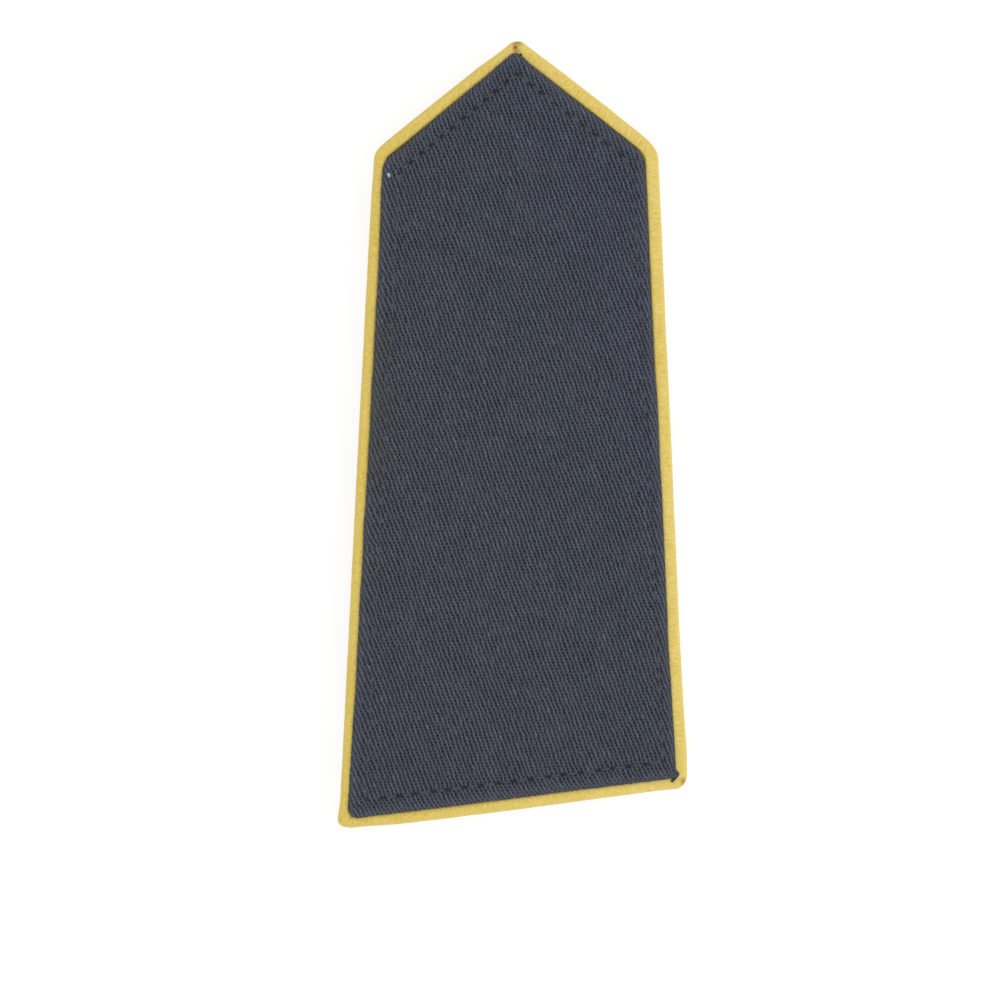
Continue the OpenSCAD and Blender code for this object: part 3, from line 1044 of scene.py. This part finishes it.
# Loose ends at the right base corner: half width, and the pixels that each one passes
LOOSE_Z = 6.8
LOOSE_ENDS = (
    (0.12, ((675.5, 775.8), (674.6, 778.2), (673.2, 780.6))),
    (0.13, ((674.6, 776.2), (673.4, 778.8), (672.0, 781.8))),
    (0.13, ((673.8, 776.4), (672.6, 779.2), (671.4, 782.0))),
    (0.12, ((673.0, 776.6), (671.8, 779.2), (670.6, 780.9))),
    (0.10, ((674.2, 776.8), (672.4, 780.0), (670.9, 781.6))),
    (0.09, ((676.6, 774.8), (676.2, 777.0), (674.9, 778.8))),
    (0.09, ((677.0, 773.4), (677.7, 775.0), (676.8, 776.6))),
)


def add_stitch(tubes, a, b, height, up, pick):
    """One stitch, which rises out of a needle hole, lies along the cloth and dives into the next."""
    slack = pick.uniform(*SLACK) * pick.choice((-1, 1))
    side = left_of(unit(b - a))
    path = []
    for share in STITCH_SHARES:
        place = a + (b - a) * share + side * slack * math.sin(TURN * (share - 0.5) / 2)
        end = min(share, 1 - share)
        dive = THREAD_DIVE * max(0.0, (DIVE_FROM - end) / (DIVE_FROM - DIVE_TO)) ** DIVE_POWER
        path.append((*place, height(place) + up * (pick.uniform(*THREAD_LIFT) - dive)))
    thin = 1 - TAPER * bell(np.minimum(STITCH_SHARES, 1 - STITCH_SHARES), TAPER_RUN)
    tubes.add(path, THREAD_RADIUS * pick.uniform(*THREAD_SPREAD) * thin, flat=THREAD_FLAT)


def sew_round(tubes, height, up, pick):
    for a, b in zip(HOLES, shifted(HOLES)):
        add_stitch(tubes, a, b, height, up, pick)


def build_stitching(material):
    def height(place):
        here = SEAM_SHOW[np.argmin(((STITCH_LINE - place) ** 2).sum(1))]
        sunk = GROOVE_DEPTH * here + THREAD_SUNK + SNUG_SUNK * (1 - here)
        return BORDER_Z - sunk + float(ripples([place], FACE_WAVE)[0])

    tubes = Tubes()
    sew_round(tubes, height, 1, random.Random(7))
    return tubes.piece("face_stitching", material)


def build_loose_ends(material):
    """Frayed yarns and a curled thread end at the right base corner."""
    tubes = Tubes()
    for radius, pixels in LOOSE_ENDS:
        marks = np.array([from_photo(px, py, LOOSE_Z) for px, py in pixels])
        shares = np.linspace(0, len(marks) - 1, 4 * len(marks))
        path = [np.interp(shares, range(len(marks)), marks[:, k]) for k in (0, 1)]
        path = np.column_stack([*path, np.full(len(shares), LOOSE_Z)])
        tubes.add(path, radius * np.linspace(1.0, 0.7, len(path)))
    return tubes.piece("loose_ends", material)


def build_back_stitching(material):
    """The seam's other side on the felt, and two rows along each hem of the band."""
    pick = random.Random(8)
    tubes = Tubes()
    sew_round(tubes, lambda p: BACK_LOW[2] + BACK_SINK, -1, pick)
    under = BAND_HIGH[2] - BAND_THICK
    ys = np.linspace(BAND_LOW[1] + HEM_END, BAND_HIGH[1] - HEM_END, HEM_HOLES)
    for side in (-1, 1):
        for inset in HEM_INSETS:
            x = BAND_MIDDLE + side * (HEM_X - inset)
            for y0, y1 in zip(ys, ys[1:]):
                ends = np.array([x, y0]), np.array([x, y1])
                add_stitch(tubes, *ends, lambda p: under + BACK_SINK, -1, pick)
    return tubes.piece("back_stitching", material)


# Room

WHITE, DOME_STRENGTH = (1, 1, 1, 1), 0.86
KEY_POWER, KEY_SIZE, KEY_PLACE = 5.4, 1.5, (1.1, -0.1, 1.1)
FLOOR_REACH, FLOOR_GREY, FLOOR_GLOW = 4.0, (0.25, 0.25, 0.25, 1), 0.81
SENSOR_WIDTH, VIEW_REACH = 36, 10


def build_floor():
    c = Cloth("floor", roughness=0.9, specular=0.0, sheen=0.0)
    c.look("Base Color", FLOOR_GREY)
    c.look("Emission Color", WHITE)
    c.look("Emission Strength", FLOOR_GLOW)
    mesh = bpy.data.meshes.new("floor")
    corners = [(FLOOR_REACH * x, FLOOR_REACH * y, 0) for x, y in ((-1, -1), (1, -1), (1, 1), (-1, 1))]
    mesh.from_pydata(corners, [], [(0, 1, 2, 3)])
    mesh.materials.append(c.material)
    floor = in_scene("floor", mesh)


def light_room():
    scene = bpy.context.scene
    scene.view_settings.view_transform = "Standard"
    world = bpy.data.worlds.new("dome")
    world.use_nodes = True
    background = world.node_tree.nodes["Background"]
    background.inputs["Color"].default_value = WHITE
    background.inputs["Strength"].default_value = DOME_STRENGTH
    scene.world = world
    key = bpy.data.lights.new("key", "AREA")
    key.shape = "DISK"
    key.size = KEY_SIZE
    key.energy = KEY_POWER
    lamp = in_scene("key", key)
    lamp.location = KEY_PLACE
    lamp.rotation_euler = Vector(KEY_PLACE).to_track_quat("Z", "Y").to_euler()
    lamp.visible_camera = False


def add_camera():
    camera = bpy.data.cameras.new("camera")
    camera.sensor_width = SENSOR_WIDTH
    camera.lens = SENSOR_WIDTH * (CAMERA_Z - OUTLINE_Z) / (PHOTO_SIZE * MM_PER_PIXEL)
    camera.clip_end = VIEW_REACH
    view = in_scene("camera", camera)
    view.location = (AIM[0] * MM, AIM[1] * MM, CAMERA_Z * MM)
    view.rotation_euler = (0, 0, ROLL)
    bpy.context.scene.camera = view


# Assembly

add_camera()
light_room()
build_floor()

face = build_face(twill_cloth())
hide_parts("face_panel")

piping = build_piping(piping_cloth())
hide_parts("piping")

back = build_backing(felt())
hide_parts("backing")

band = build_band(webbing())
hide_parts("strap_band")

seam_thread = thread("thread", srgb(48, 52, 56), srgb(84, 90, 91))
frayed = thread("frayed_yarn", srgb(30, 32, 37), srgb(64, 66, 72))
seams = build_stitching(seam_thread), build_back_stitching(seam_thread)
for piece in (*seams, build_loose_ends(frayed)):
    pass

bpy.context.view_layer.update()
